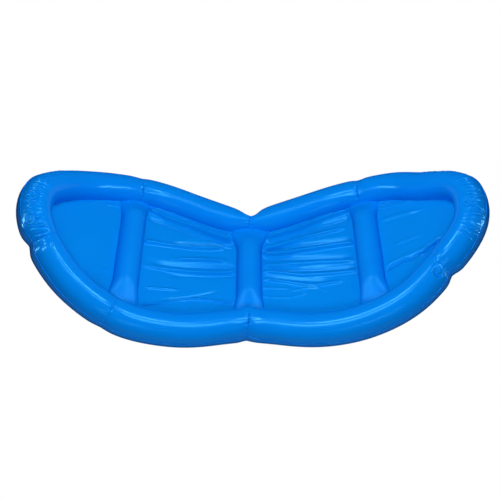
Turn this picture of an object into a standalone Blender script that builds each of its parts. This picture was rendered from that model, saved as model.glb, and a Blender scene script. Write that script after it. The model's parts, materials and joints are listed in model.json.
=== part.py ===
"""Inflatable pool chair: two welded vinyl lobes that meet at a waist and curl up at their ends.

One round ring tube runs along the edge of each lobe, split into air chambers by welded
baffles. Three cross tubes bridge the ring, flat vinyl sheets floor the four bays between
them, and four push-in valves fill the chambers. Metres, +Z up, X along the chair.
"""
import math

import bmesh
import bpy
import numpy as np
from mathutils import Matrix, Vector

# Outline of each lobe: distance from the waist, half width of the ring's centre line
LEFT_OUTLINE = (
    (0.000, 0.252), (0.100, 0.276), (0.220, 0.306), (0.340, 0.321), (0.450, 0.319),
    (0.565, 0.279), (0.655, 0.216), (0.712, 0.146), (0.746, 0.079), (0.758, 0.000),
)
RIGHT_OUTLINE = (
    (0.000, 0.252), (0.100, 0.276), (0.220, 0.304), (0.340, 0.318), (0.460, 0.311),
    (0.583, 0.268), (0.667, 0.200), (0.732, 0.141), (0.770, 0.083), (0.784, 0.000),
)

# The far side bellies out a little more between the waist and its seam
LEFT_FAR_BULGE = 0.012
RIGHT_FAR_BULGE = 0.005
BULGE_REACH = 0.340
BULGE_LENGTH = 0.110

# Side profile: the lobes rise as a parabola, and their last stretch curls a little more
CURL = 0.554
CURL_START = 0.600
LEFT_TIP_CURL = 1.70
RIGHT_TIP_CURL = 0.57

# Ring tube
TUBE_RADIUS = 0.062
TUBE_SIDES = 18
SIDE_STEP = 0.034
END_STEP = 0.024
STRAIGHTEN = 0.060
FLAT_DEPTH = 0.0005

# Welded seams across the ring
SEAM_GAP = 0.0012
BAFFLE_FILM = 0.0006
BAFFLE_INSET = 0.0010
WAIST_HEIGHT_PINCH = 0.12
FAR_WAIST_PINCH = 0.36
NEAR_WAIST_PINCH = 0.12
WAIST_PINCH_LENGTH = 0.045
SEAM_PINCH_LENGTH = 0.026

# Weld rim round the outside of the ring
RIM_WIDTH = 0.0030
RIM_FILM = 0.0008

# Cross tubes
CROSS_RADIUS = 0.049
CROSS_OFFSET = 0.450
CROSS_SIDES = 16
ACROSS_STEPS = 16
CROSS_FLARE = 1.20
CROSS_END_HEIGHT = 0.32
CROSS_TAPER = 0.300
WAIST_BAND = 0.060

# Floor sheets
SHEET_FILM = 0.0006
SHEET_ROWS = 14
FOLD_HEIGHT = 0.0035
FOLD_COUNT = 5

# Gaps between touching pieces
CLEARANCE = 0.0003
WELD_CLEARANCE = 0.00015
TIP_CLEARANCE = 0.0020

# Valves
FLANGE_RADIUS = 0.0165
FLANGE_THICKNESS = 0.0012
FLANGE_CHAMFER = 0.0006
SEAT_MARGIN = 0.0006
NECK_RADIUS = 0.0060
NECK_LENGTH = 0.0150
BORE_RADIUS = 0.0039
RIM_LIP_RADIUS = 0.0085
RIM_LIP_THICKNESS = 0.0014
NECK_FIT = 0.0004
PLUG_CAP_RADIUS = 0.0058
PLUG_CAP_THICKNESS = 0.0015
PLUG_PIN_TOP = 0.0034
PLUG_PIN_END = 0.0025
PLUG_PIN_LENGTH = 0.0036
HINGE_RADIUS = 0.0007
HINGE_WIDTH = 0.0050
STRAP_WIDTH = 0.0036
STRAP_THICKNESS = 0.0008
FLAP_RADIUS = 0.0050
FLAP_FILM = 0.0008
POCKET_MARGIN = 0.0016
POCKET_FLOOR = 0.0110
VALVE_SIDES = 20

# Colour and roughness of each kind of vinyl
TUBE_VINYL = (0.00, 0.20, 0.72, 0.22)
SHEET_VINYL = (0.00, 0.25, 0.80, 0.25)
BAFFLE_VINYL = (0.00, 0.22, 0.74, 0.35)
VALVE_VINYL = (0.10, 0.36, 0.85, 0.30)

X_AXIS = Vector((1.0, 0.0, 0.0))
Z_AXIS = Vector((0.0, 0.0, 1.0))


def clear_scene():
    for old in list(bpy.data.objects):
        bpy.data.objects.remove(old)


def vinyl(name, look):
    red, green, blue, roughness = look
    made = bpy.data.materials.new(name)
    made.use_nodes = True
    shader = made.node_tree.nodes["Principled BSDF"]
    shader.inputs["Base Color"].default_value = (red, green, blue, 1.0)
    shader.inputs["Roughness"].default_value = roughness
    shader.inputs["Metallic"].default_value = 0.0
    return made


def add_object(name, bm, look, place=None, pivot=(0.0, 0.0, 0.0)):
    """Makes a smooth shaded object, placed by a matrix if one is given, with its origin at pivot."""
    bmesh.ops.recalc_face_normals(bm, faces=bm.faces)
    bmesh.ops.translate(bm, vec=-Vector(pivot), verts=bm.verts)
    mesh = bpy.data.meshes.new(name)
    bm.to_mesh(mesh)
    bm.free()
    mesh.shade_smooth()
    mesh.set_sharp_from_angle(angle=math.radians(35))
    mesh.materials.append(vinyl(f"{name}_vinyl", look))
    made = bpy.data.objects.new(name, mesh)
    bpy.context.scene.collection.objects.link(made)
    if place is not None:
        made.matrix_world = place @ Matrix.Translation(pivot)
    return made


def smooth_step(value):
    value = min(max(value, 0.0), 1.0)
    return value * value * (3.0 - 2.0 * value)


def smooth_through(points, count):
    """Evenly parametrised points on a natural cubic spline through the given ones."""
    given = np.array(points, float)
    size = len(given)
    along = np.concatenate([[0.0], np.cumsum(np.linalg.norm(np.diff(given, axis=0), axis=1))])
    step = np.diff(along)
    system = np.eye(size)
    right = np.zeros((size, 2))
    for i in range(1, size - 1):
        system[i, i - 1:i + 2] = step[i - 1], 2 * (step[i - 1] + step[i]), step[i]
        after = (given[i + 1] - given[i]) / step[i]
        before = (given[i] - given[i - 1]) / step[i - 1]
        right[i] = 6 * (after - before)
    bend = np.linalg.solve(system, right)
    at = np.linspace(0.0, along[-1], count)
    k = np.clip(np.searchsorted(along, at) - 1, 0, size - 2)
    gap = step[k][:, None]
    left_of = (along[k + 1] - at)[:, None]
    right_of = (at - along[k])[:, None]
    curved = (bend[k] * left_of ** 3 + bend[k + 1] * right_of ** 3) / (6 * gap)
    straight_a = (given[k] / gap - bend[k] * gap / 6) * left_of
    straight_b = (given[k + 1] / gap - bend[k + 1] * gap / 6) * right_of
    return curved + straight_a + straight_b


class Lobe:
    """The ring's centre line round one lobe, from the far side of the waist to the near side."""

    def __init__(self, name, side, outline, far_bulge, tip_curl, seams):
        self.name = name
        self.side = side
        self.tip_curl = tip_curl
        self.raised = 0.0
        mirrored = [(x, -y) for x, y in outline[-2::-1]]
        plan = smooth_through(list(outline) + mirrored, 900)
        bulge = far_bulge * np.exp(-((plan[:, 0] - BULGE_REACH) / BULGE_LENGTH) ** 2)
        plan[:, 1] += np.where(plan[:, 1] > 0, bulge, 0.0)
        height = [self.rise(x) for x in plan[:, 0]]
        self.points = np.column_stack([side * plan[:, 0], plan[:, 1], height])
        steps = np.linalg.norm(np.diff(self.points, axis=0), axis=1)
        self.along = np.concatenate([[0.0], np.cumsum(steps)])
        self.length = self.along[-1]
        self.seams = [(self.distance(x, row), depth) for x, row, depth in seams]

    def rise(self, reach):
        """Height of the ring's centre line above its height at the waist."""
        return CURL * reach ** 2 + self.tip_curl * max(reach - CURL_START, 0.0) ** 2

    def distance(self, reach, row):
        """How far along the line it stands at a reach from the waist, on the far or near row."""
        x = np.abs(self.points[:, 0])
        middle = len(x) // 2
        if row == "far":
            return float(np.interp(reach, x[:middle], self.along[:middle]))
        return float(np.interp(-reach, -x[middle:], self.along[middle:]))

    def point(self, along):
        return Vector([float(np.interp(along, self.along, self.points[:, k])) for k in range(3)])

    def seam_dip(self, along):
        """How far a welded seam draws the tube's outer side in."""
        dips = [depth * math.exp(-((along - seam) / SEAM_PINCH_LENGTH) ** 2) for seam, depth in self.seams]
        return TUBE_RADIUS * sum(dips)

    def pinched(self, along, far, near):
        """Tube radius, which dips at the seams and is pinched at both ends of the waist."""
        pinch = far * math.exp(-(along / WAIST_PINCH_LENGTH) ** 2)
        pinch += near * math.exp(-((self.length - along) / WAIST_PINCH_LENGTH) ** 2)
        return TUBE_RADIUS * (1.0 - pinch) - self.seam_dip(along)

    def radius(self, along):
        return self.pinched(along, FAR_WAIST_PINCH, NEAR_WAIST_PINCH)

    def half_height(self, along):
        return self.pinched(along, WAIST_HEIGHT_PINCH, WAIST_HEIGHT_PINCH)

    def forward(self, along):
        """Direction of the centre line, square to the waist where it meets it."""
        small = 0.004
        low = max(along - small, 0.0)
        high = min(along + small, self.length)
        tangent = (self.point(high) - self.point(low)).normalized()
        to_waist = min(along, self.length - along)
        heading = X_AXIS * (self.side if along < self.length / 2 else -self.side)
        return heading.lerp(tangent, smooth_step(to_waist / STRAIGHTEN)).normalized()

    def place(self, along):
        """Matrix of the tube's section: X outward in the lobe's surface, Y square to it."""
        middle = self.point(along)
        small = 0.002
        reach = abs(middle.x)
        slope = (self.rise(reach + small) - self.rise(reach - small)) / (2 * small)
        square = Vector((-slope * self.side, 0.0, 1.0)).normalized()
        outward = square.cross(self.forward(along)).normalized() * self.side
        shift = outward * -self.seam_dip(along)
        axes = Matrix((outward, square, outward.cross(square))).transposed().to_4x4()
        return Matrix.Translation(middle + shift + Z_AXIS * self.raised) @ axes


def chamber_stations(lobe, start, end):
    """Distances of the sections of one chamber, closer together where it ends at a weld."""
    length = end - start
    middle = lobe.length / 2
    step = END_STEP if start < middle < end else SIDE_STEP
    count = max(6, round(length / step))
    found = []
    for k in range(count + 1):
        share = k / count
        eased = share - 0.6 * math.sin(2 * math.pi * share) / (2 * math.pi)
        found.append(start + SEAM_GAP / 2 + (length - SEAM_GAP) * eased)
    return found


def lobe_chambers(lobe, names):
    """Each chamber's name and its stations, in order from the far side of the waist."""
    ends = [0.0] + [seam for seam, _ in lobe.seams] + [lobe.length]
    return [(n, chamber_stations(lobe, a, b)) for n, a, b in zip(names, ends, ends[1:])]


LEFT = Lobe("left", -1, LEFT_OUTLINE, LEFT_FAR_BULGE, LEFT_TIP_CURL,
            ((0.444, "far", 0.03), (0.720, "near", 0.12), (0.490, "near", 0.03)))
RIGHT = Lobe("right", 1, RIGHT_OUTLINE, RIGHT_FAR_BULGE, RIGHT_TIP_CURL,
             ((0.450, "far", 0.05), (0.668, "near", 0.10)))
CHAMBERS = {
    LEFT: lobe_chambers(LEFT, ("far_left_tube", "left_end_tube", "left_corner_tube", "near_left_tube")),
    RIGHT: lobe_chambers(RIGHT, ("far_right_tube", "right_end_tube", "near_right_tube")),
}


def all_stations(lobe):
    return [along for _, stations in CHAMBERS[lobe] for along in stations]


def section_corners(lobe, along, inset=0.0):
    """Corners of the tube's section, one of them on its inner side."""
    place = lobe.place(along)
    wide = lobe.radius(along) - inset
    high = lobe.half_height(along) - inset
    turns = [2 * math.pi * k / TUBE_SIDES for k in range(TUBE_SIDES)]
    return [place @ Vector((wide * math.cos(t), high * math.sin(t), 0.0)) for t in turns]


def section_loop(bm, lobe, along, inset=0.0):
    verts = [bm.verts.new(corner) for corner in section_corners(lobe, along, inset)]
    return [bm.edges.new((verts[k], verts[k - 1])) for k in range(TUBE_SIDES)]


def lowest_corner():
    return min(corner.z for lobe in CHAMBERS for along in all_stations(lobe)
               for corner in section_corners(lobe, along))


# The ring stands on the undersides of its lowest sections, cut flat
CENTRE_Z = -FLAT_DEPTH - lowest_corner()
for curve in CHAMBERS:
    curve.raised = CENTRE_Z


def bridged(bm, loops):
    """Skins a row of closed loops and caps both ends."""
    for first, second in zip(loops, loops[1:]):
        bmesh.ops.bridge_loops(bm, edges=first + second)
    bmesh.ops.edgeloop_fill(bm, edges=loops[0])
    bmesh.ops.edgeloop_fill(bm, edges=loops[-1])


def cut_flat_at_floor(bm):
    geometry = bm.verts[:] + bm.edges[:] + bm.faces[:]
    cut = bmesh.ops.bisect_plane(
        bm, geom=geometry, dist=1e-6, plane_co=(0, 0, 0), plane_no=(0, 0, 1), clear_inner=True)
    rim = [item for item in cut["geom_cut"] if isinstance(item, bmesh.types.BMEdge)]
    if rim:
        bmesh.ops.holes_fill(bm, edges=rim, sides=0)


def air_chamber(lobe, name, stations):
    """One inflated length of the ring tube, closed by its welded ends."""
    bm = bmesh.new()
    bridged(bm, [section_loop(bm, lobe, along) for along in stations])
    cut_flat_at_floor(bm)
    return add_object(name, bm, TUBE_VINYL)


def baffle(lobe, name, along):
    """The film disc welded across the tube between two chambers."""
    bm = bmesh.new()
    loops = [section_loop(bm, lobe, along + shift, BAFFLE_INSET)
             for shift in (-BAFFLE_FILM / 2, BAFFLE_FILM / 2)]
    bridged(bm, loops)
    return add_object(name, bm, BAFFLE_VINYL)


def waist_baffle(name, row):
    """A baffle in the plane of the waist, where the chambers of both lobes end."""
    bm = bmesh.new()
    along = 0.0 if row == "far" else LEFT.length
    loops = []
    for shift in (-BAFFLE_FILM / 2, BAFFLE_FILM / 2):
        edges = section_loop(bm, LEFT, along, BAFFLE_INSET)
        for edge in edges:
            edge.verts[0].co.x = shift
        loops.append(edges)
    bridged(bm, loops)
    return add_object(name, bm, BAFFLE_VINYL)


def weld_rim(lobe, name):
    """The flat welded edge that stands out all round the lobe, at the tube's middle height."""
    bm = bmesh.new()
    loops = []
    for along in all_stations(lobe):
        inner = lobe.radius(along) + CLEARANCE
        place = lobe.place(along)
        corners = [(inner, -RIM_FILM / 2), (inner + RIM_WIDTH, -RIM_FILM / 2),
                   (inner + RIM_WIDTH, RIM_FILM / 2), (inner, RIM_FILM / 2)]
        verts = [bm.verts.new(place @ Vector((x, y, 0.0))) for x, y in corners]
        loops.append([bm.edges.new((verts[k], verts[k - 1])) for k in range(4)])
    bridged(bm, loops)
    return add_object(name, bm, TUBE_VINYL)


class InnerEdge:
    """One side of the open space inside the ring, along the ring's inner weld."""

    def __init__(self, lobe, side):
        inner = [lobe.place(along) @ Vector((-lobe.radius(along), 0.0, 0.0)) for along in all_stations(lobe)]
        row = sorted((abs(p.x), side * p.y) for p in inner if side * p.y > 0)
        self.reach = [x for x, _ in row]
        self.width = [y for _, y in row]
        self.waist = min(y for x, y in row if x < 2 * WAIST_BAND)

    def at(self, reach):
        """Distance from the middle, which stays the same all across the centre cross tube."""
        opened = smooth_step((reach - WAIST_BAND) / (0.5 * WAIST_BAND))
        ending = smooth_step((reach - CROSS_OFFSET) / (CURL_START - CROSS_OFFSET))
        places = (reach, reach + TIP_CLEARANCE * ending)
        width = min(float(np.interp(place, self.reach, self.width)) for place in places)
        return self.waist + (width - self.waist) * opened - WELD_CLEARANCE

    def cleared(self, reaches):
        """Widths at the given reaches, such that straight lines between them clear the ring."""
        widths = [self.at(reach) for reach in reaches]
        for k in range(len(reaches) - 1):
            span = reaches[k + 1] - reaches[k]
            for place, limit in zip(self.reach, self.width):
                share = (place - reaches[k]) / span
                if 0.0 < share < 1.0:
                    line = widths[k] + share * (widths[k + 1] - widths[k])
                    over = max(line + CLEARANCE - limit, 0.0)
                    widths[k] -= over
                    widths[k + 1] -= over
        return widths


FAR_EDGE = {lobe: InnerEdge(lobe, 1) for lobe in CHAMBERS}
NEAR_EDGE = {lobe: InnerEdge(lobe, -1) for lobe in CHAMBERS}


def inner_y(x, across):
    """Y of a place inside the ring, from -1 at its near edge to 1 at its far edge."""
    lobe = LEFT if x < 0 else RIGHT
    reach = abs(x)
    far = FAR_EDGE[lobe].at(reach)
    near = NEAR_EDGE[lobe].at(reach)
    return (far - near) / 2 + across * (far + near) / 2


def sheet_end(lobe):
    """X where an outer sheet ends, just inside the ring's end."""
    tip = min(FAR_EDGE[lobe].reach[-1], NEAR_EDGE[lobe].reach[-1])
    return lobe.side * (tip - TIP_CLEARANCE)


def floor_height(x):
    """Height of the sheets and of the ring's inner weld at a place along the chair."""
    lobe = LEFT if x < 0 else RIGHT
    return CENTRE_Z + lobe.rise(abs(x))


def floor_slope(x):
    small = 0.002
    rise = floor_height(x + small) - floor_height(x - small)
    return math.atan2(rise, 2 * small)


def cross_section(across):
    """Half width and half height of a cross tube, whose ends are pressed flat and wide."""
    flat = smooth_step((abs(across) - 1.0 + CROSS_TAPER) / CROSS_TAPER)
    half_width = CROSS_RADIUS * (1.0 + (CROSS_FLARE - 1.0) * flat)
    half_height = CROSS_RADIUS * (1.0 + (CROSS_END_HEIGHT - 1.0) * flat)
    return half_width, half_height


def cross_loop(bm, x, slope, across):
    """The corners of a cross tube's section."""
    half_width, half_height = cross_section(across)
    verts = []
    for k in range(CROSS_SIDES):
        angle = 2 * math.pi * k / CROSS_SIDES
        sideways = half_width * math.cos(angle)
        upward = half_height * math.sin(angle)
        at_x = x + sideways * math.cos(slope) - upward * math.sin(slope)
        at_z = floor_height(x) + sideways * math.sin(slope) + upward * math.cos(slope)
        end_x = x + sideways * math.cos(slope)
        verts.append(bm.verts.new((at_x, inner_y(end_x, across), at_z)))
    return verts


def upright_cap(bm, verts):
    """Closes an end in upright strips, so that it follows the ring's side."""
    half = CROSS_SIDES // 2
    bm.faces.new((verts[0], verts[1], verts[-1]))
    bm.faces.new((verts[half - 1], verts[half], verts[half + 1]))
    for k in range(1, half - 1):
        bm.faces.new((verts[k], verts[k + 1], verts[-k - 1], verts[-k]))


def cross_tube(name, x):
    """An inflated tube across the ring, welded flat to the ring's inner side at both ends."""
    slope = floor_slope(x)
    bm = bmesh.new()
    rows = [cross_loop(bm, x, slope, -math.cos(math.pi * row / ACROSS_STEPS))
            for row in range(ACROSS_STEPS + 1)]
    for first, second in zip(rows, rows[1:]):
        for k in range(CROSS_SIDES):
            bm.faces.new((first[k], first[k - 1], second[k - 1], second[k]))
    upright_cap(bm, rows[0])
    upright_cap(bm, rows[-1])
    return add_object(name, bm, TUBE_VINYL)


def cross_side(x, slope, across, side):
    """Where a sheet meets the side of the cross tube at x, in X."""
    half_width, _ = cross_section(across)
    wanted = half_width + CLEARANCE
    found = x + side * wanted * math.cos(slope)
    for _ in range(4):
        rise = floor_height(found) - floor_height(x)
        reached = side * ((found - x) * math.cos(slope) + rise * math.sin(slope))
        found += side * (wanted - reached) * math.cos(slope)
    return found


def fold_lift(share, across, depth):
    """Folds that fan out from the waist and fade towards the sheet's edges."""
    fade = math.sin(math.pi * share) * (1.0 - across ** 4)
    waves = math.sin(math.pi * FOLD_COUNT * across * (1.15 - 0.3 * share) + 0.9)
    return depth * fade * waves


def sheet_grid(near_waist, far_from_waist, folds, row_share):
    """Middle surface of a sheet, as rows of places from its near edge to its far edge."""
    shares = [row_share(row / SHEET_ROWS) for row in range(SHEET_ROWS + 1)]
    grid = []
    for share in shares:
        places = []
        for column in range(ACROSS_STEPS + 1):
            across = -math.cos(math.pi * column / ACROSS_STEPS)
            start = near_waist(across)
            x = start + (far_from_waist(across) - start) * share
            z = floor_height(x) + fold_lift(share, across, folds)
            places.append(Vector((x, inner_y(x, across), z)))
        grid.append(places)
    lobe = LEFT if grid[0][0].x < 0 else RIGHT
    reaches = [abs(row[0].x) for row in grid]
    near = NEAR_EDGE[lobe].cleared(reaches)
    far = FAR_EDGE[lobe].cleared(reaches)
    for row, near_width, far_width in zip(grid, near, far):
        row[0].y = -near_width
        row[-1].y = far_width
    return grid


def floor_sheet(name, near_waist, far_from_waist, folds, row_share):
    """A film sheet stretched between two edges, each given as X for a place across the bay."""
    bm = bmesh.new()
    grid = sheet_grid(near_waist, far_from_waist, folds, row_share)
    sides = []
    for film in (-SHEET_FILM / 2, SHEET_FILM / 2):
        rows = [[bm.verts.new(place + Z_AXIS * film) for place in row] for row in grid]
        for first, second in zip(rows, rows[1:]):
            for k in range(ACROSS_STEPS):
                bm.faces.new((first[k], first[k + 1], second[k + 1], second[k]))
        outline = rows[0] + [r[-1] for r in rows[1:]] + rows[-1][-2::-1] + [r[0] for r in rows[-2:0:-1]]
        sides.append([bm.edges.get((outline[k], outline[k - 1])) for k in range(len(outline))])
    bmesh.ops.bridge_loops(bm, edges=sides[0] + sides[1])
    return add_object(name, bm, SHEET_VINYL)


def even_rows(share):
    return share


def rows_closing_up(share):
    """Rows that draw closer together where the ring's end turns across the sheet."""
    return math.sin(math.pi / 2 * share)


def floor_sheets(lobe):
    """The lobe's two sheets, one each side of its cross tube."""
    cross_x = lobe.side * CROSS_OFFSET
    slope = floor_slope(cross_x)
    floor_sheet(
        f"{lobe.name}_inner_sheet",
        lambda across: cross_side(0.0, 0.0, across, lobe.side),
        lambda across: cross_side(cross_x, slope, across, -lobe.side),
        FOLD_HEIGHT, even_rows)
    floor_sheet(
        f"{lobe.name}_outer_sheet",
        lambda across: cross_side(cross_x, slope, across, lobe.side),
        lambda across: sheet_end(lobe),
        0.0, rows_closing_up)


def turned(profile, sides=VALVE_SIDES):
    """A solid of revolution about local Z from a closed profile of (radius, height)."""
    bm = bmesh.new()
    verts = [bm.verts.new((r, 0.0, z)) for r, z in profile]
    edges = [bm.edges.new((verts[k], verts[k - 1])) for k in range(len(verts))]
    bmesh.ops.spin(
        bm, geom=verts + edges, cent=(0, 0, 0), axis=(0, 0, 1), dvec=(0, 0, 0),
        angle=2 * math.pi, steps=sides, use_merge=True, use_duplicate=False)
    bmesh.ops.remove_doubles(bm, verts=bm.verts[:], dist=1e-6)
    on_axis = [edge for edge in bm.edges if not edge.link_faces]
    bmesh.ops.delete(bm, geom=on_axis, context="EDGES")
    return bm


def add_box(bm, low, high):
    """Adds a box between two corners to a bmesh."""
    size = Vector(high) - Vector(low)
    middle = (Vector(high) + Vector(low)) / 2
    made = bmesh.ops.create_cube(bm, size=1.0)
    bmesh.ops.scale(bm, vec=size, verts=made["verts"])
    bmesh.ops.translate(bm, vec=middle, verts=made["verts"])


def add_barrel(bm, x, z):
    """Adds a hinge barrel along local Y to a bmesh."""
    place = Matrix.Translation((x, 0.0, z)) @ Matrix.Rotation(math.pi / 2, 4, "X")
    bmesh.ops.create_cone(
        bm, cap_ends=True, segments=12, radius1=HINGE_RADIUS, radius2=HINGE_RADIUS,
        depth=HINGE_WIDTH, matrix=place)


def fused(base, parts):
    """Joins helper solids to an object with exact Boolean unions."""
    for part in parts:
        part.hide_render = True
        part.display_type = "WIRE"
        union = base.modifiers.new("join", "BOOLEAN")
        union.operation = "UNION"
        union.solver = "EXACT"
        union.object = part


class Valve:
    """A push-in valve: local Z points out of the tube, local X along it, origin on its surface."""

    def __init__(self, name, lobe, from_tip, inward_roll, seat_extra):
        self.name = name
        along = lobe.length / 2 + from_tip
        self.along = along
        forward = lobe.forward(along)
        outward = Z_AXIS.cross(forward).normalized() * lobe.side
        upward = outward.cross(forward).normalized() * lobe.side
        upward *= math.copysign(1.0, upward.z)
        roll = math.radians(inward_roll)
        normal = (upward * math.cos(roll) - outward * math.sin(roll)).normalized()
        tangent = forward
        radius = lobe.radius(along)
        seat_radius = FLANGE_RADIUS + SEAT_MARGIN
        dip = radius - math.sqrt(radius ** 2 - seat_radius ** 2)
        self.seat = -(dip + seat_extra)
        axes = Matrix((tangent, normal.cross(tangent), normal)).transposed().to_4x4()
        origin = lobe.place(along).translation + normal * radius
        self.place = Matrix.Translation(origin) @ axes
        self.flange_top = self.seat + CLEARANCE + FLANGE_THICKNESS
        self.lip_low = self.flange_top + CLEARANCE
        self.lip_top = self.lip_low + RIM_LIP_THICKNESS
        self.neck_end = self.lip_low - NECK_LENGTH
        self.plug_hinge_x = RIM_LIP_RADIUS - HINGE_RADIUS
        self.plug_hinge_z = self.lip_top + CLEARANCE + HINGE_RADIUS
        self.flap_hinge_x = FLAP_RADIUS
        self.flap_hinge_z = self.neck_end - CLEARANCE - HINGE_RADIUS

    def cutter(self):
        """The seat and the pocket that the valve needs in the tube."""
        pocket = NECK_RADIUS + POCKET_MARGIN
        depth = self.neck_end - POCKET_FLOOR
        above = 2 * FLANGE_RADIUS
        profile = ((0.0, depth), (pocket, depth), (pocket, self.seat),
                   (FLANGE_RADIUS + SEAT_MARGIN, self.seat), (FLANGE_RADIUS + SEAT_MARGIN, above), (0.0, above))
        made = add_object(f"{self.name}_seat_cutter", turned(profile), VALVE_VINYL, self.place)
        made.hide_render = True
        made.display_type = "WIRE"
        return made

    def flange(self):
        low = self.seat + CLEARANCE
        bore = NECK_RADIUS + NECK_FIT
        profile = ((bore, low), (FLANGE_RADIUS, low), (FLANGE_RADIUS, self.flange_top - FLANGE_CHAMFER),
                   (FLANGE_RADIUS - FLANGE_CHAMFER, self.flange_top), (bore, self.flange_top))
        return add_object(f"{self.name}_flange", turned(profile), VALVE_VINYL, self.place)

    def neck(self):
        round_off = RIM_LIP_THICKNESS / 3
        profile = ((BORE_RADIUS, self.neck_end), (NECK_RADIUS, self.neck_end), (NECK_RADIUS, self.lip_low),
                   (RIM_LIP_RADIUS, self.lip_low), (RIM_LIP_RADIUS, self.lip_top - round_off),
                   (RIM_LIP_RADIUS - round_off, self.lip_top), (BORE_RADIUS, self.lip_top))
        return add_object(f"{self.name}_neck", turned(profile), VALVE_VINYL, self.place)

    def plug(self):
        cap_low = self.lip_top + CLEARANCE
        cap_top = cap_low + PLUG_CAP_THICKNESS
        edge = PLUG_CAP_THICKNESS / 3
        profile = ((0.0, cap_low - PLUG_PIN_LENGTH), (PLUG_PIN_END, cap_low - PLUG_PIN_LENGTH),
                   (PLUG_PIN_TOP, cap_low), (PLUG_CAP_RADIUS, cap_low), (PLUG_CAP_RADIUS, cap_top - edge),
                   (PLUG_CAP_RADIUS - edge, cap_top), (0.0, cap_top))
        pivot = (self.plug_hinge_x, 0.0, self.plug_hinge_z)
        made = add_object(f"{self.name}_plug", turned(profile), VALVE_VINYL, self.place, pivot)
        strap = bmesh.new()
        strap_low = self.plug_hinge_z - STRAP_THICKNESS / 2
        add_box(strap, (PLUG_CAP_RADIUS / 2, -STRAP_WIDTH / 2, strap_low),
                (self.plug_hinge_x, STRAP_WIDTH / 2, strap_low + STRAP_THICKNESS))
        barrel = bmesh.new()
        add_barrel(barrel, self.plug_hinge_x, self.plug_hinge_z)
        parts = [add_object(f"{self.name}_plug_{n}", b, VALVE_VINYL, self.place)
                 for n, b in (("strap", strap), ("barrel", barrel))]
        fused(made, parts)
        return made

    def flap(self):
        top = self.flap_hinge_z + FLAP_FILM / 2
        profile = ((0.0, top - FLAP_FILM), (FLAP_RADIUS, top - FLAP_FILM), (FLAP_RADIUS, top), (0.0, top))
        pivot = (self.flap_hinge_x, 0.0, self.flap_hinge_z)
        made = add_object(f"{self.name}_check_flap", turned(profile), VALVE_VINYL, self.place, pivot)
        barrel = bmesh.new()
        add_barrel(barrel, self.flap_hinge_x, self.flap_hinge_z)
        fused(made, [add_object(f"{self.name}_flap_barrel", barrel, VALVE_VINYL, self.place)])
        return made

    def build(self, chamber):
        cut = chamber.modifiers.new(f"{self.name}_seat", "BOOLEAN")
        cut.operation = "DIFFERENCE"
        cut.solver = "EXACT"
        cut.object = self.cutter()
        for make in (self.flange, self.neck, self.plug, self.flap):
            make()


# Valves: name, lobe, distance from the lobe's tip towards the near side, roll, extra seat depth
VALVES = (
    ("left_tip_valve", LEFT, 0.018, 8.0, 0.0004),
    ("left_side_valve", LEFT, 0.092, -13.0, 0.0004),
    ("right_tip_valve", RIGHT, 0.039, 23.0, 0.0004),
    ("right_side_valve", RIGHT, 0.295, -27.0, 0.0020),
)

BAFFLE_NAMES = {LEFT: ("far_left_baffle", "left_end_baffle", "left_corner_baffle"),
                RIGHT: ("far_right_baffle", "right_end_baffle")}


def chamber_of(along, lobe):
    for name, stations in CHAMBERS[lobe]:
        if stations[0] < along < stations[-1]:
            return bpy.data.objects[name]
    raise ValueError("a valve stands on a seam")


def build_ring(lobe):
    for name, stations in CHAMBERS[lobe]:
        air_chamber(lobe, name, stations)
    for (seam, _), name in zip(lobe.seams, BAFFLE_NAMES[lobe]):
        baffle(lobe, name, seam)
    weld_rim(lobe, f"{lobe.name}_weld_rim")


def build_lobe(lobe):
    build_ring(lobe)
    cross_tube(f"{lobe.name}_cross_tube", lobe.side * CROSS_OFFSET)
    floor_sheets(lobe)
    for name, owner, from_tip, roll, seat_extra in VALVES:
        if owner is lobe:
            valve = Valve(name, lobe, from_tip, roll, seat_extra)
            valve.build(chamber_of(valve.along, lobe))


def hang_on_fold(pieces):
    """Parents the right lobe's pieces to an empty on the line they fold about."""
    axis = bpy.data.objects.new("waist_fold_axis", None)
    bpy.context.scene.collection.objects.link(axis)
    axis.location = (0.0, 0.0, CENTRE_Z + TUBE_RADIUS)
    bpy.context.view_layer.update()
    for piece in pieces:
        piece.parent = axis
        piece.matrix_parent_inverse = axis.matrix_world.inverted()


def centre_on_origin():
    """Moves the chair in plan so that the middle of its outline is at the origin."""
    bpy.context.view_layer.update()
    solids = [o for o in bpy.data.objects if o.type == "MESH" and not o.hide_render]
    corners = [o.matrix_world @ v.co for o in solids for v in o.data.vertices]
    middle_x = (min(c.x for c in corners) + max(c.x for c in corners)) / 2
    middle_y = (min(c.y for c in corners) + max(c.y for c in corners)) / 2
    for top in [o for o in bpy.data.objects if o.parent is None]:
        top.location -= Vector((middle_x, middle_y, 0.0))


def build_chair():
    build_lobe(LEFT)
    for row in ("far", "near"):
        waist_baffle(f"{row}_waist_baffle", row)
    cross_tube("centre_cross_tube", 0.0)
    still = set(bpy.data.objects)
    build_lobe(RIGHT)
    hang_on_fold([piece for piece in bpy.data.objects if piece not in still])
    centre_on_origin()


clear_scene()
build_chair()
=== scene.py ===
"""Inflatable pool chair in glossy blue vinyl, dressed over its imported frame."""
import json
import math

import bmesh
import bpy
import numpy as np
from mathutils import Matrix, Vector


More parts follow.
